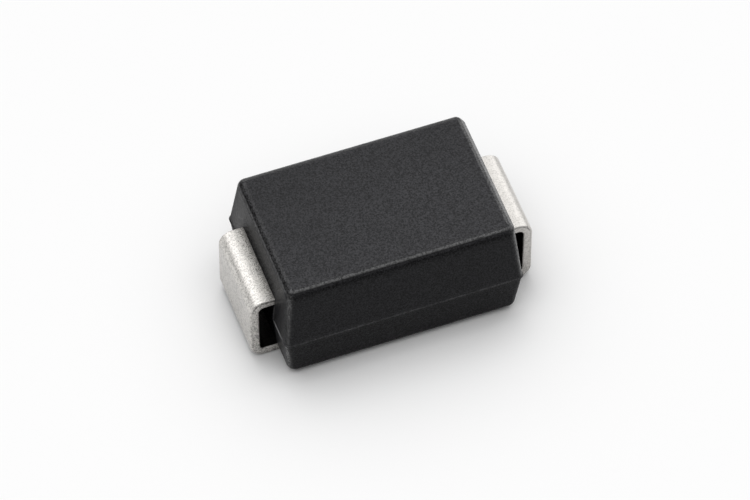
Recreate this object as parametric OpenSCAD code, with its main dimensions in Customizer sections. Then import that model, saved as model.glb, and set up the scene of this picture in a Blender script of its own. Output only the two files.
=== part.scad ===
// Two-lead surface-mount diode: a moulded body over a die soldered between two bent leads.
// X runs along the body, Z is up, and z = 0 is the board under the feet. Sizes are in millimetres.

/* [Body] */
// Length of the body at the parting line
body_length = 4.20; // [4.06:0.01:4.57]
// Width of the body at the parting line
body_width = 2.90; // [2.60:0.01:3.10]
// Height of the top face above the board
body_top = 2.18; // [1.98:0.01:2.44]
// Height of the body's underside above the board
standoff = 0.05; // [0.02:0.01:0.12]
// Height of the parting line above the board
parting_height = 0.95; // [0.75:0.01:1.10]
// Draft of the end walls above the parting line, in degrees
upper_end_draft = 4.5; // [3:0.5:9]
// Draft of the side walls above the parting line, in degrees
upper_side_draft = 8.3; // [3:0.1:10]
// Draft of all walls below the parting line, in degrees
lower_draft = 5; // [3:0.5:9]
// Radius of the top edges
top_radius = 0.15; // [0.05:0.01:0.18]
// Radius of the bottom edges
bottom_radius = 0.16; // [0.06:0.01:0.20]
// Radius of the upright corners at the parting line
corner_radius = 0.10; // [0.05:0.01:0.18]
// How far the flash ridge stands out of the walls
flash_height = 0.015; // [0.005:0.005:0.03]
// Thickness of the flash ridge
flash_thickness = 0.03; // [0.02:0.005:0.05]

/* [Leads] */
// How far each lead stands out past the body's end at the parting line
lead_reach = 0.40; // [0.35:0.01:0.60]
// Width of each lead outside the body
lead_width = 1.60; // [1.25:0.01:1.65]
// Thickness of the lead strip
lead_thickness = 0.17; // [0.15:0.01:0.24]
// Inner radius of the bends in the strip
bend_radius = 0.09; // [0.05:0.01:0.13]
// Height of the lead's underside above the parting line where it leaves the body
exit_rise = 0.34; // [0.05:0.01:0.40]
// Length of each foot from the lead's outer face to its tip
foot_length = 1.10; // [0.76:0.01:1.40]
// Gap between a foot's long edges and its recess
recess_side_gap = 0.08; // [0.04:0.01:0.20]
// Gap between a foot and the roof of its recess
recess_top_gap = 0.03; // [0.02:0.01:0.10]
// Gap between a foot's tip and the end of its recess
recess_tip_gap = 0.10; // [0.04:0.01:0.20]

/* [Inside] */
// Side of the square die
die_size = 1.60; // [1.30:0.05:1.75]
// Thickness of the die
die_thickness = 0.24; // [0.20:0.01:0.32]
// Width of the bevel round each face of the die
mesa_width = 0.13; // [0.08:0.01:0.20]
// Depth of the bevel round each face of the die
mesa_depth = 0.07; // [0.03:0.01:0.09]
// Thickness of each solder layer
solder_thickness = 0.03; // [0.02:0.01:0.06]
// Distance from the die's bevel to the edge of a lead's pad
pad_margin = 0.03; // [0.01:0.01:0.08]
// Distance from the edge of a lead's pad to the edge of its solder
solder_margin = 0.03; // [0.01:0.01:0.08]
// Slope of the step in each lead inside the body, in degrees
step_angle = 45; // [35:5:55]
// Distance from the die's edge to the start of that step
step_gap = 0.10; // [0.06:0.01:0.15]
// Length of the full-width root of each lead inside the body
root_length = 0.45; // [0.30:0.01:0.55]

/* [Hidden] */
$fn = 48;
corner_facets = 32;

epoxy_black = [0.20, 0.20, 0.21];
tin_grey = [0.80, 0.79, 0.76];
silicon_grey = [0.36, 0.38, 0.42];
solder_grey = [0.62, 0.63, 0.65];

// Heights of the lead's underside at the body wall and of the middle of the die
exit_height = parting_height + exit_rise;
stack_middle = exit_height + lead_thickness / 2;

// The pads and solder stay inside the flat of the die
pad_width = die_size - 2 * (mesa_width + pad_margin);
solder_size = pad_width - 2 * solder_margin;

// The step from the exit to a pad, measured on the middle of the strip
step_rise = (lead_thickness + die_thickness) / 2 + solder_thickness;
bend_middle = bend_radius + lead_thickness / 2;
slope_run = (step_rise - 2 * bend_middle * (1 - cos(step_angle))) / sin(step_angle);
step_length = 2 * bend_middle * sin(step_angle) + slope_run * cos(step_angle);

// Places along the strip, from the middle of the die outwards
step_start = die_size / 2 + step_gap;
root_start = body_length / 2 - root_length;
outer_face = body_length / 2 + lead_reach;
outer_bend = outer_face - lead_thickness - bend_radius;

// Straight runs between the bends of the strip
pad_run = pad_width / 2 + step_start;
neck_run = root_start - step_start - step_length;
root_run = outer_bend - root_start;
leg_run = exit_height - lead_thickness - 2 * bend_radius;
foot_run = foot_length - lead_thickness - bend_radius;

// Recess under each end of the body
recess_start = outer_face - foot_length - recess_tip_gap;
recess_width = lead_width + 2 * recess_side_gap;
recess_roof = lead_thickness + recess_top_gap;

// Half the size of the body at the height z, on a wall of that draft
function half_wall(size, draft, z) = size / 2 - abs(z - parting_height) * tan(draft);

// Copies its child to the four corners of a rectangle
module at_corners(half_x, half_y) {
    for (side_x = [-1, 1])
        for (side_y = [-1, 1])
            translate([side_x * half_x, side_y * half_y, 0])
                children();
}

// Four balls that round the corners of a face: tangent to the face and to the drafted walls
module corner_balls(centre_z, radius, end_draft, side_draft) {
    half_x = half_wall(body_length, end_draft, centre_z) - radius / cos(end_draft);
    half_y = half_wall(body_width, side_draft, centre_z) - radius / cos(side_draft);
    translate([0, 0, centre_z])
        at_corners(half_x, half_y)
            sphere(radius, $fn = corner_facets);
}

// Rounded block that is widest at the parting line
module drafted_block() {
    band = flash_thickness / 2;
    hull() {
        corner_balls(body_top - top_radius, top_radius, upper_end_draft, upper_side_draft);
        translate([0, 0, parting_height])
            at_corners(body_length / 2 - corner_radius, body_width / 2 - corner_radius)
                cylinder(h = band, r = corner_radius, center = true, $fn = corner_facets);
        corner_balls(standoff + bottom_radius, bottom_radius, lower_draft, lower_draft);
    }
}

// Thin flash left where the mould closes: level round the walls, and up the walls beside each lead
module flash_ridge() {
    half_x = body_length / 2 - corner_radius;
    half_y = body_width / 2 - corner_radius;
    rim = corner_radius + flash_height;
    difference() {
        translate([0, 0, parting_height])
            linear_extrude(height = flash_thickness, center = true)
                union() {
                    square([2 * (half_x + rim), 2 * half_y], center = true);
                    square([2 * half_x, 2 * (half_y + rim)], center = true);
                    at_corners(half_x, half_y)
                        circle(rim);
                }
        for (turn = [0, 180])
            rotate(turn)
                translate([half_x, -lead_width / 2, parting_height - flash_thickness])
                    cube([2 * rim, lead_width, 2 * flash_thickness]);
    }
    for (turn = [0, 180])
        for (side = [-1, 1])
            rotate(turn)
                translate([body_length / 2, side * (lead_width + flash_thickness) / 2, parting_height])
                    rotate([0, -upper_end_draft, 0])
                        translate([-rim, -flash_thickness / 2, 0])
                            cube([rim + flash_height, flash_thickness, exit_rise / cos(upper_end_draft)]);
}

// One bend at the end of a strip: it turns up, or down where the turn is negative
module bend(width, turn) {
    centre = turn > 0 ? lead_thickness + bend_radius : -bend_radius;
    start = turn > 0 ? -90 : 90 + turn;
    translate([0, 0, centre])
        rotate([0, -start, 0])
            rotate([90, 0, 0])
                rotate_extrude(angle = abs(turn))
                    translate([bend_radius, -width / 2])
                        square([lead_thickness, width]);
}

// Carries what follows a bend to its far end
module past_bend(turn) {
    centre = turn > 0 ? lead_thickness + bend_radius : -bend_radius;
    translate([0, 0, centre])
        rotate([0, -turn, 0])
            translate([0, 0, -centre])
                children();
}

// Strip that starts along +X with its underside on z = 0: each leg is [run, width, turn at its end]
module bent_strip(legs, index = 0) {
    run = legs[index][0];
    width = legs[index][1];
    turn = legs[index][2];
    translate([0, -width / 2, 0])
        cube([run, width, lead_thickness]);
    if (index < len(legs) - 1)
        translate([run, 0, 0]) {
            if (turn != 0)
                bend(width, turn);
            past_bend(turn)
                bent_strip(legs, index + 1);
        }
}

// A whole lead on the +X side, from the tip of its pad to the tip of its foot
module lead_strip(step_turn) {
    pad_height = exit_height - sign(step_turn) * step_rise;
    translate([-pad_width / 2, 0, pad_height])
        bent_strip([
            [pad_run, pad_width, step_turn],
            [slope_run, pad_width, -step_turn],
            [neck_run, pad_width, 0],
            [root_run, lead_width, -90],
            [leg_run, lead_width, -90],
            [foot_run, lead_width, 0],
        ]);
}

// Profile of the die with a bevel round each face, carried across the die
module mesa_prism() {
    half = die_size / 2;
    flat = half - mesa_width;
    face = die_thickness / 2;
    wall = face - mesa_depth;
    rotate([90, 0, 0])
        linear_extrude(height = 2 * die_size, center = true)
            polygon([
                [-flat, -face], [flat, -face], [half, -wall], [half, wall],
                [flat, face], [-flat, face], [-half, wall], [-half, -wall],
            ]);
}

// Solder between the die and a pad: side is 1 above the die and -1 below it
module solder_layer(side) {
    middle = stack_middle + side * (die_thickness + solder_thickness) / 2;
    translate([0, 0, middle])
        cube([solder_size, solder_size, solder_thickness], center = true);
}

// Channels under the ends of the body that clear the feet
module foot_recesses() {
    for (turn = [0, 180])
        rotate(turn)
            translate([recess_start, -recess_width / 2, 0])
                cube([foot_length + lead_reach, recess_width, recess_roof]);
}

module moulded_body() {
    color(epoxy_black)
        difference() {
            union() {
                drafted_block();
                flash_ridge();
            }
            foot_recesses();
            lower_lead();
            upper_lead();
            silicon_die();
            lower_solder();
            upper_solder();
        }
}

module lower_lead() {
    color(tin_grey)
        rotate(180)
            lead_strip(step_angle);
}

module upper_lead() {
    color(tin_grey)
        lead_strip(-step_angle);
}

module silicon_die() {
    color(silicon_grey)
        translate([0, 0, stack_middle])
            intersection() {
                mesa_prism();
                rotate(90)
                    mesa_prism();
            }
}

module lower_solder() {
    color(solder_grey)
        solder_layer(-1);
}

module upper_solder() {
    color(solder_grey)
        solder_layer(1);
}

moulded_body();
lower_lead();
upper_lead();
silicon_die();
lower_solder();
upper_solder();
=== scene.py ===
"""Looks of a two-lead moulded surface-mount diode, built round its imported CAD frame.

Laid out as an add-on and run as a script: settings hold the sizes and colours, one operator makes each
group of pieces, and main() calls them in order. Lengths are in metres, in the frame of the CAD model:
X along the body, Z up, and z = 0 on the board under the feet.
"""
import math
from collections import namedtuple

import bpy
import numpy as np
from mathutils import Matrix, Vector


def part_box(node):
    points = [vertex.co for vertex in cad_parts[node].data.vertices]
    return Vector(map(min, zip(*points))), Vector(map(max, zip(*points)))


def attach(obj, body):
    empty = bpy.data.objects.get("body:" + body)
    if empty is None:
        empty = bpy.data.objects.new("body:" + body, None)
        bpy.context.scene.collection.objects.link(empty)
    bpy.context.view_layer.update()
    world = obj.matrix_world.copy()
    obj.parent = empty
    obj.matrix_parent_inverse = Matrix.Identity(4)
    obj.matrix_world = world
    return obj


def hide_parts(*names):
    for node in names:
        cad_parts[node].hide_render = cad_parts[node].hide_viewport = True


bl_info = {
    "name": "Moulded surface-mount diode",
    "version": (1, 0, 0),
    "blender": (4, 5, 0),
    "location": "View3D > Sidebar > Diode",
    "description": "Fine body, bent leads, materials and a studio stage for a moulded diode",
    "category": "Object",
}

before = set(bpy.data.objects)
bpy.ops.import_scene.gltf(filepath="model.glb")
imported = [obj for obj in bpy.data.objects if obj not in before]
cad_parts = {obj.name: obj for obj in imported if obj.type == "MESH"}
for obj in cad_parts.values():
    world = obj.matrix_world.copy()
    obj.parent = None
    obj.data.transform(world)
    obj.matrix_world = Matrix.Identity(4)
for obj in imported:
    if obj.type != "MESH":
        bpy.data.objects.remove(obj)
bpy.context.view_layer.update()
BODY_LOW, BODY_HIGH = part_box("moulded_body")
LOWER_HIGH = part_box("lower_lead")[1]
UPPER_LOW, UPPER_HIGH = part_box("upper_lead")
DIE_LOW, DIE_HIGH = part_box("silicon_die")
SOLDER_LOW, SOLDER_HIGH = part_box("lower_solder")

MM = 1e-3
UM = 1e-6
QUARTER_TURN = math.pi / 2
FLASH = 0.015 * MM


def length(name, description, default):
    """A length setting in metres."""
    return bpy.props.FloatProperty(name=name, description=description, default=default,
                                   unit="LENGTH", subtype="DISTANCE", precision=6)


def angle(name, description, degrees):
    """An angle setting, given in degrees."""
    return bpy.props.FloatProperty(name=name, description=description, default=math.radians(degrees),
                                   unit="ROTATION", subtype="ANGLE")


def colour(name, description, default):
    """A linear colour setting."""
    return bpy.props.FloatVectorProperty(name=name, description=description, default=default,
                                         subtype="COLOR", size=3, min=0.0, max=1.0)


def factor(name, description, default):
    """A plain number."""
    return bpy.props.FloatProperty(name=name, description=description, default=default)


class BodySettings(bpy.types.PropertyGroup):
    """Sizes and colours of the moulded body."""
    length: length("Length", "Length at the parting line", BODY_HIGH.x - BODY_LOW.x - 2 * FLASH)
    width: length("Width", "Width at the parting line", BODY_HIGH.y - BODY_LOW.y - 2 * FLASH)
    top: length("Top", "Height of the top face above the board", BODY_HIGH.z)
    underside: length("Underside", "Height of the underside above the board", BODY_LOW.z)
    parting: length("Parting line", "Height of the parting line above the board", 0.95 * MM)
    end_draft: angle("End draft", "Draft of the end walls above the parting line", 4.5)
    side_draft: angle("Side draft", "Draft of the side walls above the parting line", 8.3)
    lower_draft: angle("Lower draft", "Draft of all walls below the parting line", 5)
    top_radius: length("Top radius", "Radius of the top edges", 0.15 * MM)
    bottom_radius: length("Bottom radius", "Radius of the bottom edges", 0.16 * MM)
    corner_radius: length("Corner radius", "Radius of the upright corners", 0.10 * MM)
    wear_end: angle("Wear end", "Angle round the right top edge at which its worn flat ends", 62)
    flash_height: length("Flash height", "How far the flash ridge stands out", FLASH)
    flash_thickness: length("Flash thickness", "Thickness of the flash ridge", 0.03 * MM)
    recess_start: length("Recess start", "Distance of each foot recess from the middle", 1.30 * MM)
    recess_width: length("Recess width", "Width of each foot recess", 1.76 * MM)
    recess_roof: length("Recess roof", "Height of the roof of each recess", 0.20 * MM)
    grain: length("Grain", "Size of the spark-eroded grain", 30 * UM)
    fine_grain: length("Fine grain", "Size of the fine grain on top of it", 14 * UM)
    cloud: length("Cloud", "Size of the flow clouds in the resin", 900 * UM)
    rub: length("Rub", "Size of the patches in which edges are rubbed more or less", 420 * UM)
    grain_depth: length("Grain depth", "Depth of the grain on matt skin", 8 * UM)
    rubbed_depth: length("Rubbed depth", "Depth of the grain on rubbed edges", 4 * UM)
    dark: colour("Dark epoxy", "Colour of the resin", (0.011, 0.011, 0.0117))
    light: colour("Light epoxy", "Colour of the filler grains at the surface", (0.056, 0.056, 0.0602))
    worn: colour("Worn epoxy", "Colour of the filler grains on rubbed edges", (0.034, 0.034, 0.036))
    # The flash colour is a painted highlight along the ridge and on one top corner
    flash: colour("Flash", "Colour of the thin flash at the parting line", (0.62, 0.62, 0.63))


class LeadSettings(bpy.types.PropertyGroup):
    """Sizes and colours of the leads."""
    outer_face: length("Outer face", "Distance of a lead's outer face from the middle", UPPER_HIGH.x)
    width: length("Width", "Width of a lead outside the body", UPPER_HIGH.y - UPPER_LOW.y)
    thickness: length("Thickness", "Thickness of the strip", 0.17 * MM)
    bend_radius: length("Bend radius", "Inner radius of the bends", 0.09 * MM)
    exit_top: length("Exit top", "Height of a lead's top face where it leaves the body", LOWER_HIGH.z)
    foot_length: length("Foot length", "Length of a foot from the outer face to its tip", 1.10 * MM)
    edge_radius: length("Edge radius", "Radius of the cut edges", 0.036 * MM)
    root_start: length("Root start", "Distance of the full-width root from the middle", 1.65 * MM)
    root_end: length("Root end", "Distance from the middle at which a lead's top is free", 2.06 * MM)
    shoulder: length("Shoulder", "Length over which the strip widens to its root", 0.06 * MM)
    step_start: length("Step start", "Distance of the step inside the body from the middle", 0.90 * MM)
    step_angle: angle("Step angle", "Slope of the step inside the body", 45)
    # The reach of the resin specks and of the painted shade beside the body
    bleed_and_shade: length("Bleed", "How far specks of resin reach out over the root", 0.26 * MM)
    sand: length("Sand", "Size of the sandy grain of the plating", 27 * UM)
    fine_sand: length("Fine sand", "Size of the fine grain on top of it", 13 * UM)
    pit: length("Pit", "Size of the pits in the plating", 110 * UM)
    grain_depth: length("Grain depth", "Depth of the plating's grain", 8 * UM)
    left_grit: factor("Left grit", "Contrast of the grain on the left lead", 1.0)
    right_grit: factor("Right grit", "Contrast of the grain on the right lead", 0.55)
    tin: colour("Tin", "Colour of the matt tin plating", (0.80, 0.775, 0.742))
    shade: colour("Tin shade", "Colour of the pits in the plating", (0.34, 0.33, 0.312))


class InsideSettings(bpy.types.PropertyGroup):
    """Sizes and colours of the finishes sealed in the body."""
    lapping: length("Lapping", "Size of the lapping marks on the die", 60 * UM)
    lump: length("Lump", "Size of the lumps in the solder", 120 * UM)
    lump_depth: length("Lump depth", "Depth of the lumps in the solder", 6 * UM)
    silicon: colour("Silicon", "Colour of the die", (0.11, 0.12, 0.15))
    glass: colour("Glass", "Colour of the glass on the bevels", (0.20, 0.15, 0.12))
    solder: colour("Solder", "Colour of the solder", (0.35, 0.36, 0.38))


class StageSettings(bpy.types.PropertyGroup):
    """Camera, floor and lights."""
    azimuth: angle("Azimuth", "Turn of the camera from the front towards the left", 20.155)
    elevation: angle("Elevation", "Height of the camera above the horizon", 53.79)
    distance: length("Distance", "Distance from the camera to its target", 99.03 * MM)
    pixels: factor("Focal length", "Focal length in pixels of the picture", 5928.5)
    picture_width: factor("Picture width", "Width of the picture in pixels", 750)
    pivot_height: length("Pivot height", "Height of the point whose place in the picture is set", 1.0 * MM)
    offset_right: factor("Offset right", "Pixels from the picture's middle rightwards to the pivot", 0.45)
    offset_up: factor("Offset up", "Pixels from the picture's middle upwards to the pivot", 5.42)
    floor: colour("Floor", "Colour of the floor", (0.945, 0.945, 0.945))
    bounce: colour("Floor bounce", "Colour that the floor throws back on the part", (0.05, 0.05, 0.05))
    floor_size: length("Floor size", "Half the side of the floor", 0.5)
    floor_gap: length("Floor gap", "Gap between the floor and the feet", 1 * UM)
    overhead: factor("Overhead", "Strength of the wide soft light overhead", 1.791)
    lean_back: angle("Lean back", "Lean of the overhead light towards the back", 6.0)
    soft_inner: angle("Soft inner", "Angle from overhead at which the soft light starts to fade", 0.4)
    soft_outer: angle("Soft outer", "Angle from overhead at which the soft light ends", 69.2)
    lamp: factor("Lamp", "Strength of the small soft lamp", 2.70)
    lamp_lean: angle("Lamp lean", "Lean of the small lamp towards the back", 17)
    lamp_outer: angle("Lamp outer", "Angle from the lamp's middle at which its light ends", 17)
    dome: factor("Dome", "Strength of the pale dome that shiny surfaces reflect", 1.45)
    dome_lean: angle("Dome lean", "Lean of the dome towards the back", 12)
    dome_inner: angle("Dome inner", "Angle from the dome's middle at which it starts to fade", 54)
    dome_outer: angle("Dome outer", "Angle from the dome's middle at which it ends", 88)
    rim: factor("Rim", "Strength of the rim under the dome where it is lightest", 1.0)
    rim_turn: angle("Rim turn", "Turn of the lightest part of the rim from the back to the right", 40)
    rim_inner: angle("Rim inner", "Angle from the rim's lightest part at which it starts to fade", 30)
    rim_outer: angle("Rim outer", "Angle from the rim's lightest part at which it is dark", 135)


class Wire:
    """A shader socket that can be used in sums: each operation adds a Math node to its tree."""

    def __init__(self, tree, socket=None):
        self.tree = tree
        self.socket = socket

    def node(self, kind, settings=None, sockets=None, output=0):
        """Adds a node: its settings are set first, then the values or links of its sockets."""
        made = self.tree.nodes.new(kind)
        for name, value in (settings or {}).items():
            setattr(made, name, value)
        for name, value in (sockets or {}).items():
            if isinstance(value, Wire):
                self.tree.links.new(value.socket, made.inputs[name])
            else:
                made.inputs[name].default_value = value
        return Wire(self.tree, made.outputs[output])

    def feed(self, output):
        """Links this shader to the surface of an output node."""
        self.tree.links.new(self.socket, output.inputs["Surface"])

    def math(self, operation, *values):
        """A Math node on this socket and the given values."""
        return self.node("ShaderNodeMath", {"operation": operation}, dict(enumerate((self, *values))))

    def __add__(self, other):
        return self.math("ADD", other)

    def __sub__(self, other):
        return self.math("SUBTRACT", other)

    def __rsub__(self, other):
        return self.node("ShaderNodeMath", {"operation": "SUBTRACT"}, {0: other, 1: self})

    def __mul__(self, other):
        return self.math("MULTIPLY", other)

    __radd__ = __add__
    __rmul__ = __mul__

    def at_most(self, limit):
        """This value, or the limit where it is larger."""
        return self.math("MINIMUM", limit)

    def smooth(self, low, high):
        """0 below low, 1 above high and an S-shaped rise between them."""
        return self.node("ShaderNodeMapRange", {"interpolation_type": "SMOOTHSTEP"},
                         {"Value": self, "From Min": low, "From Max": high})


# Places of the colour sockets on a Mix node
MIX_FIRST = 6
MIX_SECOND = 7
MIX_RESULT = 2


def new_material(name):
    """An empty node material: its tree as a Wire, and its output node."""
    material = bpy.data.materials.new(name)
    material.use_nodes = True
    material.node_tree.nodes.clear()
    output = material.node_tree.nodes.new("ShaderNodeOutputMaterial")
    return material, Wire(material.node_tree), output


def rgba(value, share=1.0):
    """A colour setting, or a share of it, with its alpha."""
    return (*(share * part for part in value), 1.0)


def object_place(tree):
    """Places in the part's own frame."""
    return tree.node("ShaderNodeTexCoord", output="Object")


def coordinate(tree, place, axis):
    """One coordinate of a place: X, Y or Z."""
    return tree.node("ShaderNodeSeparateXYZ", {}, {0: place}, output=axis)


def mask(tree, name):
    """A mask that the mesh holds at its points."""
    return tree.node("ShaderNodeAttribute", {"attribute_name": name}, output="Fac")


def noise(tree, place, grain, detail, rough=0.5):
    """Noise whose patches are about grain metres across, from 0 to 1."""
    return tree.node("ShaderNodeTexNoise", {},
                     {"Vector": place, "Scale": 1.0 / grain, "Detail": detail, "Roughness": rough})


def mix_colour(tree, share, first, second):
    """First colour where share is 0, second where it is 1."""
    return tree.node("ShaderNodeMix", {"data_type": "RGBA"},
                     {0: share, MIX_FIRST: first, MIX_SECOND: second}, output=MIX_RESULT)


def mix_shader(tree, share, first, second):
    """First shader where share is 0, second where it is 1."""
    return tree.node("ShaderNodeMixShader", {}, {0: share, 1: first, 2: second})


def bump(tree, height, strength, depth):
    """A normal that follows height, where a height of 1 is depth metres."""
    return tree.node("ShaderNodeBump", {}, {"Strength": strength, "Distance": depth, "Height": height})


def principled(tree, sockets):
    """The standard surface shader."""
    return tree.node("ShaderNodeBsdfPrincipled", {}, sockets)


def patchy(patches, even):
    """1 where patches is 1, and even where it is 0."""
    return even + patches * (1.0 - even)


# Grain of the epoxy, and the painted shade that darkens it towards the back and the left, per metre
GRAIN_RISE = (0.36, 0.66)
FINE_RISE = (0.35, 0.68)
GRAIN_SHARE = 0.6
CLOUD_BASE = 0.72
CLOUD_SWING = 0.5
PAINTED_DARKER_BACK = 130.0
PAINTED_DARKER_LEFT = 70.0

# Matt skin of the epoxy
MATT_BUMP = 0.85
MATT_ROUGH = 0.38
GRAIN_ROUGH = 0.12
CLOUD_ROUGH = 0.06
MATT_SPECULAR = 0.11

# Rubbed edges: the part that is rubbed evenly, and what the grain adds
RUB_RISE = (0.30, 0.62)
RUB_EVEN = 0.6
RUB_BASE = 0.2
RUB_GRAIN = 1.6
RUBBED_BUMP = 0.2
RUBBED_ROUGH = 0.09
RUBBED_GRAIN_ROUGH = 0.08
RUBBED_SPECULAR = 0.9

# Painted shade in dark bands, which are broken by light grains, and patches of the flash's painted
# highlight
PAINTED_SHADE_BASE = 1.6
PAINTED_SHADE_GRAIN = 1.2
PAINTED_SHADE_TONE = 0.2
PAINTED_SHADE_ROUGH = 0.6
FLASH_RISE = (0.35, 0.65)
FLASH_EVEN = 0.5


def epoxy_material(body):
    """Matt moulded epoxy: spark-eroded grain in colour and bump, flow clouds, rubbed edges, painted shade
    in dark bands and a painted highlight as paler flash.
    """
    material, tree, output = new_material("moulded_epoxy")
    place = object_place(tree)
    along = coordinate(tree, place, "X")
    across = coordinate(tree, place, "Y")
    grain = noise(tree, place, body.grain, detail=2.0, rough=0.6)
    fine = noise(tree, place, body.fine_grain, detail=1.0)
    clouds = noise(tree, place, body.cloud, detail=3.0)
    rubbing = noise(tree, place, body.rub, detail=3.0, rough=0.6)
    height = grain * GRAIN_SHARE + fine * (1.0 - GRAIN_SHARE)
    speck = grain.smooth(*GRAIN_RISE) * GRAIN_SHARE + fine.smooth(*FINE_RISE) * (1.0 - GRAIN_SHARE)
    # Painted shade: the resin's colour gets darker towards the back and the left
    painted_light_tone = 1.0 - across * PAINTED_DARKER_BACK + along.at_most(0.0) * PAINTED_DARKER_LEFT
    tone = speck * (CLOUD_BASE + clouds * CLOUD_SWING) * painted_light_tone
    resin = mix_colour(tree, tone, rgba(body.dark), rgba(body.light))
    # Painted highlight: the flash mask lays the pale flash colour on the ridge
    flash_highlight = mask(tree, "flash") * patchy(rubbing.smooth(*FLASH_RISE), FLASH_EVEN)
    grain_bump = bump(tree, height, MATT_BUMP, body.grain_depth)
    matt = principled(tree, {
        "Base Color": mix_colour(tree, flash_highlight, resin, rgba(body.flash)),
        "Roughness": MATT_ROUGH + grain * GRAIN_ROUGH + clouds * CLOUD_ROUGH,
        "Normal": grain_bump, "Specular IOR Level": MATT_SPECULAR})
    rubbed = principled(tree, {
        "Base Color": mix_colour(tree, tone, rgba(body.dark), rgba(body.worn)),
        "Roughness": RUBBED_ROUGH + grain * RUBBED_GRAIN_ROUGH,
        "Normal": bump(tree, height, RUBBED_BUMP, body.rubbed_depth),
        "Specular IOR Level": RUBBED_SPECULAR})
    # Painted shade: a darker skin with no reflection, laid on where the dark mask is
    painted_shade_skin = principled(tree, {
        "Base Color": mix_colour(tree, speck, rgba(body.dark, PAINTED_SHADE_TONE), rgba(body.dark)),
        "Roughness": PAINTED_SHADE_ROUGH, "Normal": grain_bump, "Specular IOR Level": 0.0})
    rubbed_share = patchy(rubbing.smooth(*RUB_RISE), RUB_EVEN) * (RUB_BASE + speck * RUB_GRAIN)
    gloss = mask(tree, "gloss") * rubbed_share
    # The dark mask holds the painted shade of the edges, the walls and the lead contacts
    dark = mask(tree, "dark") * (PAINTED_SHADE_BASE - speck * PAINTED_SHADE_GRAIN)
    worked = mix_shader(tree, gloss.at_most(1.0), matt, rubbed)
    mix_shader(tree, dark.at_most(1.0), worked, painted_shade_skin).feed(output)
    return material


# Shares of the three noises in the plating's tone and in its bump
Mixture = namedtuple("Mixture", "sand fine pits")
TIN_TONE = Mixture(sand=0.60, fine=0.25, pits=0.15)
TIN_HEIGHT = Mixture(sand=0.7, fine=0.3, pits=0.4)
SAND_RISE = (0.36, 0.55)
FINE_SAND_RISE = (0.36, 0.56)
PIT_RISE = (0.3, 0.7)
EVEN_TONE = 0.62
TIN_BUMP = 0.8
TIN_ROUGH = 0.30
SAND_ROUGH = 0.12
CUT_ROUGH = 0.10

# Darkest and lightest tone of the duller finishes, as shares of the settings' colours; the scuffed leg is
# partly painted shade and the inner face is painted shade
Tones = namedtuple("Tones", "dark light")
SCUFFED_AND_SHADED = Tones(dark=0.45, light=1.35)
SHEARED = Tones(dark=0.35, light=0.9)
INNER_PAINTED_SHADE = Tones(dark=0.06, light=0.07)

# Specks of resin with painted shade at the root, the painted shade of the inner face, and the torn line
# along the cut sides
BLEED_SAND = 2.6
BLEED_RISE = (2.46, 2.62)
BLEED_SHARE = 0.9
BLEED_AND_PAINTED_SHADE = 0.4
INNER_RISE = (0.90, 0.99)
CUT_START = 0.7
TEAR_PITS = 0.5
TEAR_SAND = 0.3
TEAR_START = (0.78, 0.95)
TEAR_END = (1.08, 1.25)
TEAR_RISE = (0.40, 0.58)
TEAR_EVEN = 0.4
TEAR_SHARE = 0.95
TEAR_LEG = 2.2
TEAR_SHADE = 0.2


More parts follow.
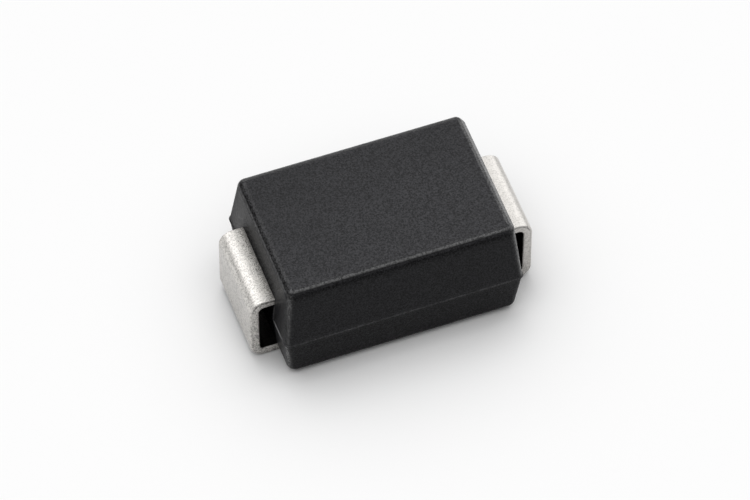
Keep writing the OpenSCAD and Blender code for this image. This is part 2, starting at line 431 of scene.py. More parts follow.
def tin_material(lead):
    """Matt tin plating: sandy grain with pits, a painted highlight and painted shade round the bend, specks
    of resin with painted shade at the root, a scuffed leg that is partly painted shade, torn cut sides and
    painted shade on the inner face.
    """
    material, tree, output = new_material("matt_tin")
    place = object_place(tree)
    depth, root, leg, painted_bend_light, grit = (mask(tree, name) for name in ("depth", "root", "leg", "painted_bend_light", "grit"))
    sand = noise(tree, place, lead.sand, detail=2.0, rough=0.6)
    fine = noise(tree, place, lead.fine_sand, detail=1.0)
    pits = noise(tree, place, lead.pit, detail=2.0)
    speck = (sand.smooth(*SAND_RISE) * TIN_TONE.sand + fine.smooth(*FINE_SAND_RISE) * TIN_TONE.fine
             + pits.smooth(*PIT_RISE) * TIN_TONE.pits)
    tone = EVEN_TONE + (speck - EVEN_TONE) * grit
    # Painted highlight and shade: the bend is lightened past its start, and darkened at its crease and on
    # the flat root
    plated = mix_colour(tree, tone + painted_bend_light, rgba(lead.shade), rgba(lead.tin))
    # Painted shade in part: the leg is drawn darker, towards the pits' colour
    scuffed_and_shaded = mix_colour(tree, tone, rgba(lead.shade, SCUFFED_AND_SHADED.dark), rgba(lead.shade, SCUFFED_AND_SHADED.light))
    face = mix_colour(tree, leg, plated, scuffed_and_shaded)
    # Resin specks and painted shade, thickest next to the body
    bleed_and_shade = (root + sand * BLEED_SAND + fine).smooth(*BLEED_RISE) * BLEED_SHARE * grit
    stained_and_shaded = mix_colour(tree, bleed_and_shade, face, rgba(lead.shade, BLEED_AND_PAINTED_SHADE))
    tear = depth + pits * TEAR_PITS + sand * TEAR_SAND
    torn_line = tear.smooth(*TEAR_START) - tear.smooth(*TEAR_END)
    torn_share = (TEAR_SHARE - leg * TEAR_LEG) * patchy(pits.smooth(*TEAR_RISE), TEAR_EVEN)
    sheared = mix_colour(tree, tone, rgba(lead.shade, SHEARED.dark), rgba(lead.tin, SHEARED.light))
    torn = mix_colour(tree, torn_line * torn_share, sheared, rgba(lead.shade, TEAR_SHADE))
    side = lead.width / 2
    across = coordinate(tree, place, "Y").math("ABSOLUTE")
    cut = across.smooth(side - CUT_START * lead.edge_radius, side)
    inner = (0.0 - depth).smooth(*INNER_RISE)
    # Painted shade: the inner face is drawn nearly black
    inner_painted_shade = mix_colour(tree, tone, rgba(lead.shade, INNER_PAINTED_SHADE.dark), rgba(lead.tin, INNER_PAINTED_SHADE.light))
    base = mix_colour(tree, inner, mix_colour(tree, cut, stained_and_shaded, torn), inner_painted_shade)
    height = sand * TIN_HEIGHT.sand + fine * TIN_HEIGHT.fine + pits * TIN_HEIGHT.pits
    principled(tree, {
        "Base Color": base, "Roughness": TIN_ROUGH + sand * SAND_ROUGH + cut * CUT_ROUGH,
        "Normal": bump(tree, height, TIN_BUMP, lead.grain_depth), "Metallic": 1.0}).feed(output)
    return material


# Die: where its bevel lies, as shares of half its side, and its gloss
BEVEL_START = 0.82
BEVEL_END = 0.86
SILICON_ROUGH = 0.22
LAPPING_ROUGH = 0.2
GLASS_POLISH = 0.1
SILICON_SPECULAR = 0.8


def silicon_material(inside):
    """Lapped silicon, with a brownish glass on the bevels round both faces."""
    material, tree, output = new_material("lapped_silicon")
    place = object_place(tree)
    along, across = (coordinate(tree, place, axis).math("ABSOLUTE") for axis in "XY")
    bevel = along.math("MAXIMUM", across).smooth(BEVEL_START * DIE_HIGH.x, BEVEL_END * DIE_HIGH.x)
    lapping = noise(tree, place, inside.lapping, detail=4.0)
    principled(tree, {
        "Base Color": mix_colour(tree, bevel, rgba(inside.silicon), rgba(inside.glass)),
        "Roughness": SILICON_ROUGH + lapping * LAPPING_ROUGH - bevel * GLASS_POLISH,
        "Specular IOR Level": SILICON_SPECULAR}).feed(output)
    return material


# Solder: the tone of its hollows, its bump and its gloss
HOLLOW_SHADE = 0.8
LUMP_BUMP = 0.4
SOLDER_ROUGH = 0.3
LUMP_ROUGH = 0.2


def solder_material(inside):
    """Reflowed solder: a dull metal with soft lumps."""
    material, tree, output = new_material("reflowed_solder")
    lumps = noise(tree, object_place(tree), inside.lump, detail=3.0)
    principled(tree, {
        "Base Color": mix_colour(tree, lumps, rgba(inside.solder, HOLLOW_SHADE), rgba(inside.solder)),
        "Roughness": SOLDER_ROUGH + lumps * LUMP_ROUGH,
        "Normal": bump(tree, lumps, LUMP_BUMP, inside.lump_depth), "Metallic": 1.0}).feed(output)
    return material


WELD = 1e-8
SHARP = math.radians(38)

# A band of a mask: its strength, and the values between which it rises and falls
Band = namedtuple("Band", "strength rise fall", defaults=(None,))


def ramp(values, low, high):
    """0 at low, 1 at high and a straight rise between them; low may be above high."""
    return np.clip((values - low) / (high - low), 0, 1)


def bands(values, *parts):
    """Sum of bands: each has its strength past its rise and before its fall, and fades over both."""
    total = 0.0
    for part in parts:
        falling = 1.0 if part.fall is None else ramp(values, *part.fall)
        total = total + part.strength * ramp(values, *part.rise) * falling
    return total


def spread(low, high, count):
    """Evenly spaced places between low and high, without the two ends."""
    return np.linspace(low, high, count + 2)[1:-1]


def grid_faces(rows, columns, closed=False):
    """Quads between neighbouring rows and columns of a grid of points.

    A closed grid joins its last column to its first.
    """
    index = np.arange(rows * columns).reshape(rows, columns)
    if closed:
        index = np.hstack([index, index[:, :1]])
    corners = (index[:-1, :-1], index[:-1, 1:], index[1:, 1:], index[1:, :-1])
    return np.stack(corners, axis=-1).reshape(-1, 4)


def welded_mesh(name, points, faces, masks):
    """Mesh of a grid's quads: points in one place are joined.

    Faces that close up to a line and points that no face uses are dropped.
    """
    keys = np.round(points / WELD).astype(np.int64)
    _, first, joined = np.unique(keys, axis=0, return_index=True, return_inverse=True)
    faces = joined.reshape(-1)[faces]
    repeats = faces == np.roll(faces, -1, axis=1)
    crossed = (faces[:, 0] == faces[:, 2]) | (faces[:, 1] == faces[:, 3])
    quads = faces[(repeats.sum(axis=1) == 0) & ~crossed]
    short = (repeats.sum(axis=1) == 1) & ~crossed
    triangles = faces[short][~repeats[short]].reshape(-1, 3)
    corners = np.concatenate([quads.reshape(-1), triangles.reshape(-1)])
    used, corners = np.unique(corners, return_inverse=True)
    first = first[used]
    quads, triangles = corners[:quads.size].reshape(-1, 4), corners[quads.size:].reshape(-1, 3)
    mesh = bpy.data.meshes.new(name)
    mesh.from_pydata(points[first], [], quads.tolist() + triangles.tolist())
    mesh.polygons.foreach_set("use_smooth", np.ones(len(mesh.polygons), bool))
    mesh.set_sharp_from_angle(angle=SHARP)
    for layer_name, values in masks.items():
        layer = mesh.attributes.new(layer_name, "FLOAT", "POINT")
        layer.data.foreach_set("value", values[first].astype(np.float32))
    mesh.update()
    return mesh


def add_piece(name, mesh, material, node):
    """Puts a finished mesh into the scene in place of its CAD node."""
    mesh.materials.append(material)
    piece = bpy.data.objects.new(name, mesh)
    bpy.context.scene.collection.objects.link(piece)
    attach(piece, "root")
    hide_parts(node)


# Section of the flash ridge: places across it and its height there, as shares of its size
RIDGE_STEPS = np.array([0.0, 0.25, 0.5, 0.75, 1.0])
RIDGE_PROFILE = np.array([0.0, 0.8, 1.0, 0.8, 0.0])

# Half of that section, from its crest outwards
CREST = 2
RIDGE_HALF = RIDGE_STEPS[:CREST + 1]
RIDGE_FALL = RIDGE_PROFILE[CREST:]

# Rows and columns of the body's grid; the columns of a wall stop some corner radii short of its ends
CORNER_STEPS = 12
FILLET_STEPS = 20
LEAD_COLUMNS = 12
OUTER_COLUMNS = 3
SIDE_COLUMNS = 61
LOW_ROWS = 6
EXIT_ROWS = 3
HIGH_ROWS = 8
CORNER_ROOM = 4
SUPPORT = 0.008 * MM

Columns = namedtuple("Columns", "side_x side_y fixed_x fixed_y turn")


def lead_underside(lead):
    """Height of a lead's underside where it leaves the body."""
    return lead.exit_top - lead.thickness


def outline_columns(body, lead):
    """Columns of the body's outline, anticlockwise from the right end, seen from above.

    A column's point is side * centre + fixed + radius * (cos turn, sin turn): on a straight wall the place
    along the wall is fixed, and on a corner both sides follow the corner's centre. The two columns at each
    side of a recess lie in one place, because the inner one moves in to the recess's end.
    """
    half_lead = lead.width / 2
    half_recess = body.recess_width / 2
    ridge = half_lead + RIDGE_STEPS * body.flash_thickness
    outer = body.width / 2 - CORNER_ROOM * body.corner_radius
    positive = np.concatenate([spread(0, half_lead, LEAD_COLUMNS), ridge, [half_recess, half_recess],
                               spread(half_recess, outer, OUTER_COLUMNS)])
    along_end = np.concatenate([-positive[::-1], [0.0], positive])
    wall = body.length / 2 - CORNER_ROOM * body.corner_radius
    even = np.linspace(-wall, wall, SIDE_COLUMNS)
    along_side = np.sort(np.concatenate([even, [-body.recess_start, body.recess_start]]))
    turns = np.linspace(0, QUARTER_TURN, CORNER_STEPS + 1)
    parts = []
    for quarter, (sx, sy) in enumerate(((1, 1), (-1, 1), (-1, -1), (1, -1))):
        start = quarter * QUARTER_TURN
        if quarter % 2 == 0:
            straight = (sx, 0, 0, sx * along_end, start)
        else:
            straight = (0, sy, -sy * along_side, 0, start)
        corner = (sx, sy, 0, 0, start + turns)
        parts += [np.broadcast_arrays(*straight), np.broadcast_arrays(*corner)]
    return Columns(*(np.concatenate(rows) for rows in zip(*parts))), along_end, along_side


def levels(half, share, fillet):
    """Rows of a stretch of the body, each as (half, share, fillet)."""
    return np.stack(np.broadcast_arrays(float(half), share, fillet), axis=1)


def body_rows(body, lead):
    """Levels of the body from its underside to its top, and the row of the recesses' roof.

    half is -1 below the parting line and 1 above it, share runs up a wall from the parting line (0) to its
    fillet (1), and fillet runs round the fillet from the wall (0) to the flat face (1).
    """
    fillet = np.linspace(0, 1, FILLET_STEPS + 1)
    low_end = body.underside + body.bottom_radius * (1 - math.sin(body.lower_draft))
    low_wall = body.parting - low_end
    high_end = body.top - body.top_radius * (1 - math.sin(body.end_draft))
    high_wall = high_end - body.parting
    ridge = body.flash_thickness * RIDGE_HALF[1:]
    ridge_end = ridge[-1] + SUPPORT
    exit_under = lead_underside(lead) - body.parting
    roof = body.parting - body.recess_roof
    low = np.concatenate([[0.0], ridge, [ridge_end], spread(ridge_end, roof, LOW_ROWS), [roof, roof]])
    high = np.concatenate([ridge, [ridge_end], spread(ridge_end, exit_under, EXIT_ROWS),
                           [exit_under, exit_under + SUPPORT],
                           spread(exit_under + SUPPORT, high_wall, HIGH_ROWS), [high_wall - SUPPORT]])
    under = levels(-1, 1, fillet)[::-1]
    below = levels(-1, low / low_wall, 0)[::-1]
    above = levels(1, high / high_wall, 0)
    over = levels(1, 1, fillet)
    return np.concatenate([under, below, above, over]), len(under)


def worn_flat(body, tilt, draft, upper, turn):
    """Share of the fillet's radius left where the right top edge is worn flat.

    The wear cuts the round edge along the chord from the wall to its end: the radius there is the cosine
    of half the chord's angle over the cosine of the angle from the chord's middle.
    """
    middle = (draft + body.wear_end) / 2
    half = (body.wear_end - draft) / 2
    chord = np.where(tilt < body.wear_end, np.cos(half) / np.cos(tilt - middle), 1.0)
    return 1 + (chord - 1) * upper * np.clip(np.cos(turn), 0, 1)[None, :] ** 2


def ridge_height(body, lead, z, columns):
    """How far the flash stands out at each point.

    It runs along the parting line, and up the end walls beside the leads.
    """
    level = np.interp(abs(z - body.parting) / body.flash_thickness, RIDGE_HALF, RIDGE_FALL)
    on_end = columns.side_y == 0
    beside = (abs(columns.fixed_y) - lead.width / 2) / body.flash_thickness
    upright = np.where(on_end, np.interp(beside, RIDGE_STEPS, RIDGE_PROFILE, left=0, right=0), 0.0)
    level = np.where(on_end & (beside < WELD), 0.0, level)
    climbing = (z >= body.parting) & (z <= lead_underside(lead) + WELD)
    return body.flash_height * np.maximum(level, upright * climbing)


# Rubbed bands of the top edges, by how far the surface leans from the flat top, in degrees
FRONT_HAZE = Band(strength=0.15, rise=(4, 28), fall=(63, 53))
FRONT_RUB = Band(strength=0.85, rise=(29, 34), fall=(63, 53))
LEFT_CROWN = Band(strength=0.25, rise=(5, 9), fall=(30, 24))
LEFT_BROW = Band(strength=0.4, rise=(27, 31), fall=(76, 60))
LEFT_RUB = Band(strength=0.2, rise=(50, 56), fall=(76, 60))
RIGHT_CROWN = Band(strength=0.8, rise=(5, 9), fall=(85, 78))
RIGHT_BROW = Band(strength=0.2, rise=(27, 31), fall=(85, 78))
RIGHT_WALL = Band(strength=0.06, rise=(78, 85))
BACK_CROWN = Band(strength=0.25, rise=(5, 9), fall=(78, 66))
BACK_BROW = Band(strength=0.35, rise=(27, 31), fall=(78, 66))

# Sheen of the left wall, which is stronger at its back and front ends
LEFT_WALL = Band(strength=1.0, rise=(56, 70))
LEFT_SHEEN = 0.06
REAR_SHEEN = Band(strength=0.16, rise=(0.5 * MM, 0.9 * MM))
NEAR_SHEEN = Band(strength=0.10, rise=(-0.7 * MM, -1.1 * MM))

# Painted shade: dark bands of the top edges and walls, and a dark brink of the front wall under its edge
FRONT_SHADE = Band(strength=0.15, rise=(60, 76))
LEFT_SHADE = Band(strength=0.6, rise=(27, 31), fall=(57, 51))
LEFT_WALL_SHADE = Band(strength=0.17, rise=(62, 76))
RIGHT_SHADE = Band(strength=0.2, rise=(78, 85))
BACK_SHADE = Band(strength=0.15, rise=(66, 78))
BRINK_PAINTED_SHADE = Band(strength=0.42, rise=(50, 76))
BRINK_SHARE = 0.10

# Below the parting line: rubbed bottom edges, sheen of the left wall and painted shade on the long walls
LOW_RUB = 0.3
LOW_RUB_FADE = 0.1
LOW_SHEEN = 0.16
LOW_SHADE = 0.31

# Rubbed upright corners, and the top corner with a painted highlight: where they face, and how narrow they
# are
Corner = namedtuple("Corner", "turn fold power")
FRONT_LEFT = Corner(turn=1.28 * math.pi, fold=2, power=5)
FRONT_LEFT_LOW = Corner(turn=1.20 * math.pi, fold=2, power=5)
FRONT_RIGHT = Corner(turn=1.82 * math.pi, fold=2, power=2)
HIGHLIGHT_CORNER = Corner(turn=1.27 * math.pi, fold=3, power=8)
CORNER_HIGHLIGHT = Band(strength=1.0, rise=(14, 24), fall=(52, 42))
CORNER_HIGHLIGHT_SHARE = 0.3


def facing(turn, corner):
    """1 where the outline faces a corner, and less on both sides.

    It is a power of the cosine of fold times the angle off the corner, up to that cosine's first zero.
    """
    off = np.clip(corner.fold * (turn - corner.turn), -QUARTER_TURN, QUARTER_TURN)
    return np.cos(off) ** corner.power


def edge_masks(tilt, fillet, share, upper, columns):
    """Where the skin is rubbed smooth, where shade is painted on it, and where a highlight is painted on a
    corner, from 0 to 1.

    The crown of a fillet is the part next to the flat face, and its brow the part next to the wall. Each
    side's bands are weighed by the square of the cosine of the angle between the outline and that side.
    """
    turn, fixed_y = columns.turn, columns.fixed_y
    lean = np.degrees(QUARTER_TURN - tilt)
    right, back = (np.clip(way, 0, 1) ** 2 for way in (np.cos(turn), np.sin(turn)))
    left, front = (np.clip(-way, 0, 1) ** 2 for way in (np.cos(turn), np.sin(turn)))
    wall_sheen = LEFT_SHEEN + bands(fixed_y, REAR_SHEEN, NEAR_SHEEN)
    left_gloss = bands(lean, LEFT_CROWN, LEFT_BROW, LEFT_RUB) + wall_sheen * bands(lean, LEFT_WALL)
    right_gloss = bands(lean, RIGHT_CROWN, RIGHT_BROW, RIGHT_WALL)
    back_gloss = bands(lean, BACK_CROWN, BACK_BROW)
    front_gloss = bands(lean, FRONT_HAZE, FRONT_RUB)
    top_gloss = left_gloss * left + right_gloss * right + back_gloss * back + front_gloss * front
    low_edge = ramp(fillet, 0, LOW_RUB_FADE) * ramp(fillet, 1, 1 - LOW_RUB_FADE)
    low_gloss = LOW_RUB * low_edge + LOW_SHEEN * left
    corners = np.where(upper, np.maximum(facing(turn, FRONT_LEFT), facing(turn, FRONT_RIGHT)),
                       facing(turn, FRONT_LEFT_LOW)) * (1 - fillet)
    gloss = np.clip(np.maximum(np.where(upper, top_gloss, low_gloss), corners), 0, 1)
    # Painted shade along the edges and walls, kept in the dark mask
    brink = np.where(fillet > 0, bands(lean, BRINK_PAINTED_SHADE), BRINK_PAINTED_SHADE.strength * ramp(share, 1 - BRINK_SHARE, 1))
    top_painted_shade = (front * (bands(lean, FRONT_SHADE) + brink) + left * bands(lean, LEFT_SHADE, LEFT_WALL_SHADE)
                + right * bands(lean, RIGHT_SHADE) + back * bands(lean, BACK_SHADE))
    dark = np.where(upper, top_painted_shade, LOW_SHADE * (front + back))
    # Painted highlight: a pale spot on the front left top corner, which also clears the painted shade there
    worn = upper * facing(turn, HIGHLIGHT_CORNER) * bands(lean, CORNER_HIGHLIGHT)
    return {"gloss": gloss, "dark": dark * (1 - worn), "flash": CORNER_HIGHLIGHT_SHARE * worn}


# Painted shade on the end walls above the leads, how far it reaches up and sideways, and the painted shade
# beneath them
CONTACT_HEIGHT = 0.45 * MM
CONTACT_FADE = 0.16 * MM
CONTACT_POWER = 0.8
CONTACT_SHADE = 0.72
BENEATH_SHADE = 0.9

# Painted highlight on the flash along the long walls, and how far its softer painted highlight reaches from
# the parting line
SIDE_HIGHLIGHT = 0.10
SOFT_HIGHLIGHT = 0.5
SOFT_REACH = 0.9


def shade_by_leads(masks, lead, z, columns):
    """Paints shade on the end walls just above the leads and beneath them."""
    half_lead = lead.width / 2
    on_end = columns.side_y == 0
    beside = ramp(abs(columns.fixed_y), half_lead + CONTACT_FADE, half_lead - CONTACT_FADE)
    contact = ramp(z, lead.exit_top + CONTACT_HEIGHT, lead.exit_top) ** CONTACT_POWER
    above = on_end * beside * (z > lead.exit_top) * contact
    beneath = on_end & (abs(columns.fixed_y) < half_lead) & (z < lead_underside(lead))
    shade = np.maximum(CONTACT_SHADE * above, BENEATH_SHADE * beneath)
    masks["dark"] = np.maximum(masks["dark"], shade)


def paint_flash_highlight(masks, body, lead, z, ridge, columns):
    """Paints a highlight on the flash as a paler colour: fully on the end walls clear of the leads, and
    faintly on the long walls.
    """
    on_end = columns.side_y == 0
    clear = abs(columns.fixed_y) > lead.width / 2 + body.flash_thickness
    soft = SOFT_HIGHLIGHT * (abs(z - body.parting) < SOFT_REACH * body.flash_thickness) * ~on_end
    flash_highlight = np.maximum(ridge / body.flash_height, soft) * np.where(on_end, clear, SIDE_HIGHLIGHT)
    masks["flash"] = np.maximum(masks["flash"], flash_highlight)


def body_surface(body, lead, columns):
    """Outer surface of the body: rounded outlines stacked from the underside to the top, and their masks.

    Each wall point lies on the straight line from the parting outline to the start of the fillet, and each
    fillet point on a ball that touches the wall and the flat face. The flash ridge pushes its points
    straight out. Below the recess roof the points between the recess walls move in to the recess's end.
    """
    rows, roof_row = body_rows(body, lead)
    half, share, fillet = rows.T[:, :, None]
    upper = half > 0
    side_share = np.sin(columns.turn)[None, :] ** 2
    draft_end = np.where(upper, body.end_draft, body.lower_draft)
    draft_side = np.where(upper, body.side_draft, body.lower_draft)
    draft = draft_end + (draft_side - draft_end) * side_share
    radius = np.where(upper, body.top_radius, body.bottom_radius)
    ball = np.where(upper, body.top - radius, body.underside + radius)
    drop = abs(ball - body.parting)
    ball_x = body.length / 2 - drop * np.tan(draft_end) - radius / np.cos(draft_end)
    ball_y = body.width / 2 - drop * np.tan(draft_side) - radius / np.cos(draft_side)
    tilt = draft + fillet * (QUARTER_TURN - draft)
    worn_radius = radius * worn_flat(body, tilt, draft, upper, columns.turn)
    centre_x = (body.length / 2 - body.corner_radius) * (1 - share) + ball_x * share
    centre_y = (body.width / 2 - body.corner_radius) * (1 - share) + ball_y * share
    z = body.parting * (1 - share) + (ball + half * worn_radius * np.sin(tilt)) * share
    ridge = ridge_height(body, lead, z, columns)
    reach = body.corner_radius * (1 - share) + worn_radius * np.cos(tilt) * share + ridge
    x = columns.side_x * centre_x + columns.fixed_x + reach * np.cos(columns.turn)
    y = columns.side_y * centre_y + columns.fixed_y + reach * np.sin(columns.turn)
    half_recess = body.recess_width / 2
    between = (columns.side_y == 0) & (abs(columns.fixed_y) <= half_recess)
    recess_sides = np.flatnonzero(np.isclose(abs(columns.fixed_y), half_recess) & (columns.side_y == 0))
    between[recess_sides.reshape(2, -1)[:, [0, -1]]] = False
    recessed = (np.arange(len(rows))[:, None] <= roof_row) & between
    x = np.where(recessed, columns.side_x * body.recess_start, x)
    masks = edge_masks(tilt, fillet, share, upper, columns)
    shade_by_leads(masks, lead, z, columns)
    paint_flash_highlight(masks, body, lead, z, ridge, columns)
    return np.stack([x, y, z], axis=-1), masks, ball_x, ball_y


def body_mesh(body, lead):
    """The body's walls, its top face and its underside round the two recesses, as one closed mesh.

    The flat faces are grids on the walls' own columns. Cells of the underside over a recess are left out,
    and its points along a recess's sides are moved in to the recess's end, where the wall's points are.
    """
    columns, along_end, along_side = outline_columns(body, lead)
    wall, masks, ball_x, ball_y = body_surface(body, lead, columns)
    points = [wall.reshape(-1, 3)]
    faces = [grid_faces(*wall.shape[:2], closed=True)]
    for row, level in ((0, body.underside), (-1, body.top)):
        end_x, end_y = ball_x[row, 0], ball_y[row, 0]
        xs = np.concatenate([[-end_x], along_side, [end_x]])
        ys = np.concatenate([[-end_y], along_end, [end_y]])
        flat = np.stack(np.broadcast_arrays(xs[None, :], ys[:, None], level), axis=-1)
        cells = grid_faces(len(ys), len(xs))
        if row == 0:
            middle = flat.reshape(-1, 3)[cells].mean(axis=1)
            past_end = abs(middle[:, 0]) > body.recess_start
            in_recess = past_end & (abs(middle[:, 1]) < body.recess_width / 2)
            cells = cells[~in_recess][:, ::-1]
            flat_x, flat_y = flat[..., 0], flat[..., 1]
            on_side = np.isclose(abs(flat_y), body.recess_width / 2)
            brink = on_side & (abs(flat_x) > body.recess_start) & (abs(flat_x) < end_x)
            flat[..., 0] = np.where(brink, np.sign(flat_x) * body.recess_start, flat_x)
        faces.append(cells + sum(len(part) for part in points))
        points.append(flat.reshape(-1, 3))
    total = sum(len(part) for part in points)
    masks = {name: np.pad(values.reshape(-1), (0, total - values.size)) for name, values in masks.items()}
    return welded_mesh("moulded_body_skin", np.concatenate(points), np.concatenate(faces), masks)


# Stations along a lead, and places across its flat faces as shares of half their width
BEND_STEPS = 18
RUN_STEPS = 6
END_STEPS = 5
EDGE_STEPS = 6
INSET_SHARE = 0.25
FLAT_EDGE = 0.985
FLAT_END = 0.9
FLAT_STEPS = 9

# Scuffed leg with painted shade: where the scuffing starts and is full below the exit, and its strength
LEG_START = 0.08 * MM
LEG_FULL = 0.22 * MM
LEG_SCUFF_AND_SHADE = 0.35

# Painted highlight and painted shade in bands of the plating, by how far the strip leans down from its
# exit, in degrees
PAINTED_BEND_HIGHLIGHT = Band(strength=0.14, rise=(6, 25), fall=(42, 30))
PAINTED_CREASE_SHADE = Band(strength=0.24, rise=(33, 42), fall=(60, 48))
ROOT_SHADE = Band(strength=0.20, rise=(24, 8))


def strip_path(lead, rising):
    """Stations along the middle of a lead, from its pad at the die to the tip of its foot.

    A straight run is cut into a few stations, and a bend into equal small turns: each moves by its chord,
    in the direction halfway through the turn. The pad reaches half its width past the die's middle.
    Returns the places, headings and widths of the stations.
    """
    turn = lead.step_angle if rising else -lead.step_angle
    middle = lead.bend_radius + lead.thickness / 2
    pad_width = -2 * UPPER_LOW.x
    step_rise = (lead.thickness + DIE_HIGH.z - DIE_LOW.z) / 2 + SOLDER_HIGH.z - SOLDER_LOW.z
    slope = (step_rise - 2 * middle * (1 - math.cos(turn))) / math.sin(abs(turn))
    step_length = 2 * middle * math.sin(abs(turn)) + slope * math.cos(turn)
    neck = lead.root_start - lead.shoulder - lead.step_start - step_length
    root = lead.outer_face - lead.thickness - lead.bend_radius - lead.root_start
    leg = lead.exit_top - 2 * lead.thickness - 2 * lead.bend_radius
    foot = lead.foot_length - lead.thickness - lead.bend_radius
    runs = ((pad_width / 2 + lead.step_start, pad_width, pad_width, turn),
            (slope, pad_width, pad_width, -turn),
            (neck, pad_width, pad_width, 0),
            (lead.shoulder, pad_width, lead.width, 0),
            (root, lead.width, lead.width, -QUARTER_TURN),
            (leg, lead.width, lead.width, -QUARTER_TURN),
            (foot, lead.width, lead.width, 0))
    steps, turns, widths = [], [], []
    for run, width, end_width, bend in runs:
        inset = min(SUPPORT, INSET_SHARE * run)
        stations = np.concatenate([[0, inset], spread(inset, run - inset, RUN_STEPS), [run - inset, run]])
        cuts = np.diff(stations)
        steps.append(cuts)
        turns.append(np.zeros(len(cuts)))
        widths.append(np.interp(np.cumsum(cuts), [0, run], [width, end_width]))
        if bend:
            part = abs(bend) / BEND_STEPS
            steps.append(np.full(BEND_STEPS, 2 * middle * math.sin(part / 2)))
            turns.append(np.full(BEND_STEPS, bend / BEND_STEPS))
            widths.append(np.full(BEND_STEPS, end_width))
    steps, turns, widths = (np.concatenate(part) for part in (steps, turns, widths))
    headings = np.concatenate([[0], np.cumsum(turns)])
    ways = (headings[:-1] + headings[1:]) / 2
    rise = -step_rise if rising else step_rise
    start = np.array([-pad_width / 2, lead.exit_top - lead.thickness / 2 + rise])
    moves = np.stack([steps * np.cos(ways), steps * np.sin(ways)], axis=1)
    places = np.concatenate([[start], start + np.cumsum(moves, axis=0)])
    return places, headings, np.concatenate([[pad_width], widths])


def strip_section():
    """Section of the strip, anticlockwise from its right edge: the side of each point and its turn.

    The point is side * (half size - edge radius) + edge radius * (cos turn, sin turn), so that a quarter
    circle rounds each edge and the flat faces lie between them.
    """
    arc = np.linspace(0, QUARTER_TURN, EDGE_STEPS + 1)
    across = np.array([FLAT_EDGE, *np.linspace(FLAT_END, -FLAT_END, FLAT_STEPS), -FLAT_EDGE])
    one = np.ones_like(arc)
    flat = np.ones_like(across)
    turn = np.concatenate([arc, QUARTER_TURN * flat, QUARTER_TURN + arc,
                           2 * QUARTER_TURN + arc, 3 * QUARTER_TURN * flat, 3 * QUARTER_TURN + arc])
    side_y = np.concatenate([one, across, -one, -one, -across, one])
    side_n = np.concatenate([one, flat, one, -one, -flat, -one])
    return side_y, side_n, turn


def strip_caps(rows, columns):
    """Quads that close the first and the last row of a strip, between its upper and its lower half."""
    there = np.arange(columns // 2 - 1)
    back = columns - 1 - there
    cap = np.stack([there, there + 1, back - 1, back], axis=1)
    return np.concatenate([cap[:, ::-1], cap + (rows - 1) * columns])


def plating_masks(lead, x, n, z, headings, grit):
    """Masks of the plating: depth through the strip, root, scuffed and shaded leg, painted highlight and
    shade of the bend, and grit.
    """
    lean = np.degrees(-headings)[:, None]
    masks = {
        "depth": n / (lead.thickness / 2),
        "root": ramp(abs(x), lead.root_end + lead.bleed_and_shade, lead.root_end) * (n > 0),
        "leg": LEG_SCUFF_AND_SHADE * ramp(z, lead.exit_top - LEG_START, lead.exit_top - LEG_FULL),
        "painted_bend_light": bands(lean, PAINTED_BEND_HIGHLIGHT) - bands(lean, PAINTED_CREASE_SHADE, ROOT_SHADE),
        "grit": grit,
    }
    return {name: np.broadcast_to(values, x.shape).reshape(-1) for name, values in masks.items()}


def lead_mesh(name, lead, lower):
    """A lead: a strip with rounded edges carried along its path, with rounded ends.

    The section is a small circle of the edge radius carried round a smaller rectangle. At both ends the
    circle shrinks as the section moves on by the same quarter turn. The lower lead's step rises outwards
    from the die, and the lead is turned by half a turn to the left end.
    """
    places, headings, widths = strip_path(lead, rising=lower)
    edge = lead.edge_radius
    quarter = np.linspace(0, QUARTER_TURN, END_STEPS + 1)
    last = len(places) - 1
    ends = np.concatenate([-np.sin(quarter[::-1]), np.zeros(last - 1), np.sin(quarter)])
    shrink = np.concatenate([np.cos(quarter[::-1]), np.ones(last - 1), np.cos(quarter)])
    pick = np.concatenate([np.zeros(END_STEPS, int), np.arange(last + 1), np.full(END_STEPS, last)])
    places, headings, widths = places[pick], headings[pick], widths[pick]
    along = np.stack([np.cos(headings), np.sin(headings)], axis=1)
    normal = np.stack([-np.sin(headings), np.cos(headings)], axis=1)
    places = places + along * (edge * (ends - np.sign(ends)))[:, None]
    side_y, side_n, turn = strip_section()
    y = side_y * (widths[:, None] / 2 - edge) + edge * shrink[:, None] * np.cos(turn)
    n = side_n * (lead.thickness / 2 - edge) + edge * shrink[:, None] * np.sin(turn)
    x = places[:, :1] + n * normal[:, :1]
    z = places[:, 1:] + n * normal[:, 1:]
    sign = -1.0 if lower else 1.0
    points = np.stack([sign * x, sign * y, z], axis=-1)
    shape = points.shape[:2]
    faces = np.concatenate([grid_faces(*shape, closed=True), strip_caps(*shape)])
    masks = plating_masks(lead, x, n, z, headings, lead.left_grit if lower else lead.right_grit)
    return welded_mesh(name, points.reshape(-1, 3), faces, masks)


def settings():
    """The scene's settings."""
    scene = bpy.context.scene
    return scene.diode_body, scene.diode_leads, scene.diode_inside, scene.diode_stage


class DIODE_OT_moulded_body(bpy.types.Operator):
    """Make the moulded epoxy body"""
    bl_idname = "diode.moulded_body"
    bl_label = "Moulded body"

    def execute(self, context):
        body, lead, _, _ = settings()
        add_piece("moulded_body_skin", body_mesh(body, lead), epoxy_material(body), "moulded_body")
        return {"FINISHED"}


class DIODE_OT_leads(bpy.types.Operator):
    """Make the two bent leads"""
    bl_idname = "diode.leads"
    bl_label = "Bent leads"

    def execute(self, context):
        _, lead, _, _ = settings()
        tin = tin_material(lead)
        for name, node, lower in (("lower_lead_strip", "lower_lead", True),
                                  ("upper_lead_strip", "upper_lead", False)):
            add_piece(name, lead_mesh(name, lead, lower), tin, node)
        return {"FINISHED"}


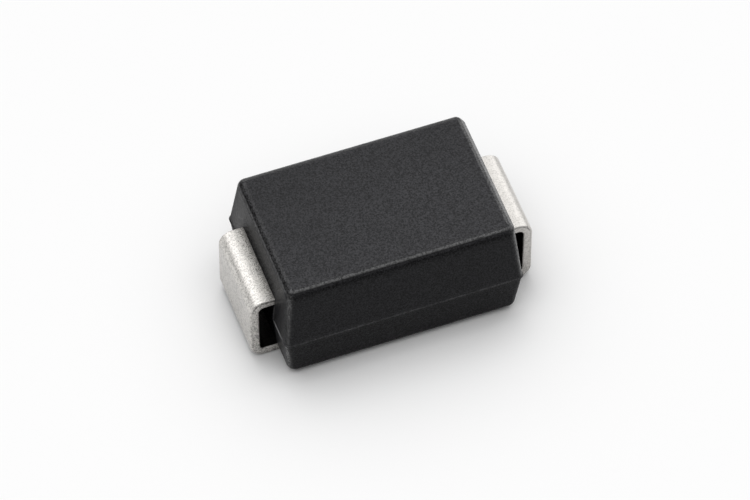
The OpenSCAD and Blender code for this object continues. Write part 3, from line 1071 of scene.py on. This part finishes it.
class DIODE_OT_inside(bpy.types.Operator):
    """Give the sealed die and solder their finishes"""
    bl_idname = "diode.inside"
    bl_label = "Die and solder"

    def execute(self, context):
        _, _, inside, _ = settings()
        solder = solder_material(inside)
        finishes = {"silicon_die": silicon_material(inside), "lower_solder": solder, "upper_solder": solder}
        for node, material in finishes.items():
            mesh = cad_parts[node].data
            mesh.materials.clear()
            mesh.materials.append(material)
        return {"FINISHED"}


SENSOR_WIDTH = 36.0
CLIP_START = 1 * MM
CLIP_END = 10.0
WHITE = (1.0, 1.0, 1.0, 1.0)


def add_camera(stage):
    """Camera aimed so that the pivot above the origin lies at its place in the picture."""
    azimuth, elevation = stage.azimuth, stage.elevation
    toward = Vector((-math.sin(azimuth) * math.cos(elevation), -math.cos(azimuth) * math.cos(elevation),
                     math.sin(elevation)))
    right = Vector((math.cos(azimuth), -math.sin(azimuth), 0))
    up = toward.cross(right)
    pixel = stage.distance / stage.pixels
    pivot = Vector((0, 0, stage.pivot_height))
    target = pivot - right * stage.offset_right * pixel - up * stage.offset_up * pixel
    data = bpy.data.cameras.new("camera")
    data.sensor_width = SENSOR_WIDTH
    data.lens = SENSOR_WIDTH * stage.pixels / stage.picture_width
    data.clip_start = CLIP_START
    data.clip_end = CLIP_END
    camera = bpy.data.objects.new("camera", data)
    bpy.context.scene.collection.objects.link(camera)
    camera.location = target + toward * stage.distance
    camera.rotation_euler = (-toward).to_track_quat("-Z", "Y").to_euler()
    bpy.context.scene.camera = camera


def seen_rays(tree):
    """1 for rays from the camera and rays that a shiny surface sends on from there.

    It is 0 for light that was scattered on the way.
    """
    camera, glossy, passed = (tree.node("ShaderNodeLightPath", output=name) for name in
                              ("Is Camera Ray", "Is Glossy Ray", "Is Transmission Ray"))
    scattered = tree.node("ShaderNodeLightPath", output="Diffuse Depth").at_most(1.0)
    return (camera + glossy + passed).at_most(1.0) * (1.0 - scattered)


def add_floor(stage):
    """Plain pale floor on which the feet stand, clear when it is seen from below."""
    size = stage.floor_size
    corners = [(sx * size, sy * size, -stage.floor_gap) for sx, sy in ((-1, -1), (1, -1), (1, 1), (-1, 1))]
    mesh = bpy.data.meshes.new("floor")
    mesh.from_pydata(corners, [], [[0, 1, 2, 3]])
    material, tree, output = new_material("pale_floor")
    shade = mix_colour(tree, seen_rays(tree), rgba(stage.bounce), rgba(stage.floor))
    pale = tree.node("ShaderNodeBsdfDiffuse", {}, {"Color": shade})
    clear = tree.node("ShaderNodeBsdfTransparent")
    behind = tree.node("ShaderNodeNewGeometry", output="Backfacing")
    mix_shader(tree, behind, pale, clear).feed(output)
    mesh.materials.append(material)
    floor = bpy.data.objects.new("floor", mesh)
    bpy.context.scene.collection.objects.link(floor)


def leaning(lean):
    """Direction that leans from overhead towards the back."""
    return (0.0, math.sin(lean), math.cos(lean))


def soft_disc(tree, way, axis, inner, outer):
    """1 within the inner angle of the axis, fading to 0 at the outer angle."""
    along = tree.node("ShaderNodeVectorMath", {"operation": "DOT_PRODUCT"}, {0: way, 1: axis},
                      output="Value")
    return along.smooth(math.cos(outer), math.cos(inner))


def set_world(stage):
    """Wide soft light and a small lamp overhead, and the pale dome and dimmer rim that shiny surfaces
    reflect. The camera itself sees white.
    """
    world = bpy.data.worlds.new("studio")
    world.use_nodes = True
    world.node_tree.nodes.clear()
    tree = Wire(world.node_tree)
    output = world.node_tree.nodes.new("ShaderNodeOutputWorld")
    way = tree.node("ShaderNodeTexCoord", output="Generated")
    soft = soft_disc(tree, way, leaning(stage.lean_back), stage.soft_inner, stage.soft_outer)
    lamp = soft_disc(tree, way, leaning(stage.lamp_lean), 0.0, stage.lamp_outer)
    lamps = soft * stage.overhead + lamp * stage.lamp
    dome = soft_disc(tree, way, leaning(stage.dome_lean), stage.dome_inner, stage.dome_outer)
    rim_axis = (math.sin(stage.rim_turn), math.cos(stage.rim_turn), 0.0)
    rim = soft_disc(tree, way, rim_axis, stage.rim_inner, stage.rim_outer) * stage.rim
    backdrop = rim + dome * (stage.dome - rim)
    camera = tree.node("ShaderNodeLightPath", output="Is Camera Ray")
    shown = backdrop + (1.0 - backdrop) * camera
    strength = lamps + (shown - lamps) * seen_rays(tree)
    tree.node("ShaderNodeBackground", {}, {"Color": WHITE, "Strength": strength}).feed(output)
    bpy.context.scene.world = world


class DIODE_OT_stage(bpy.types.Operator):
    """Set up the camera, the floor and the studio light"""
    bl_idname = "diode.stage"
    bl_label = "Studio stage"

    def execute(self, context):
        _, _, _, stage = settings()
        add_camera(stage)
        add_floor(stage)
        set_world(stage)
        context.scene.view_settings.view_transform = "Standard"
        return {"FINISHED"}


class DIODE_PT_panel(bpy.types.Panel):
    """Settings and steps of the diode"""
    bl_idname = "DIODE_PT_panel"
    bl_label = "Diode"
    bl_space_type = "VIEW_3D"
    bl_region_type = "UI"
    bl_category = "Diode"

    def draw(self, context):
        for step in STEPS:
            self.layout.operator(step.bl_idname)
        for group in settings():
            box = self.layout.box()
            for name in group.__annotations__:
                box.prop(group, name)


GROUPS = {"diode_body": BodySettings, "diode_leads": LeadSettings, "diode_inside": InsideSettings,
          "diode_stage": StageSettings}
STEPS = (DIODE_OT_stage, DIODE_OT_moulded_body, DIODE_OT_leads, DIODE_OT_inside)
CLASSES = (*GROUPS.values(), *STEPS, DIODE_PT_panel)


def register():
    """Registers the classes and hangs the settings on the scene."""
    for item in CLASSES:
        bpy.utils.register_class(item)
    for name, group in GROUPS.items():
        setattr(bpy.types.Scene, name, bpy.props.PointerProperty(type=group))


def unregister():
    """Takes the settings and the classes away again."""
    for name in GROUPS:
        delattr(bpy.types.Scene, name)
    for item in reversed(CLASSES):
        bpy.utils.unregister_class(item)


def main():
    """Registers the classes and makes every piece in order."""
    register()
    bpy.ops.diode.stage()
    bpy.ops.diode.moulded_body()
    bpy.ops.diode.leads()
    bpy.ops.diode.inside()


if __name__ == "__main__":
    main()
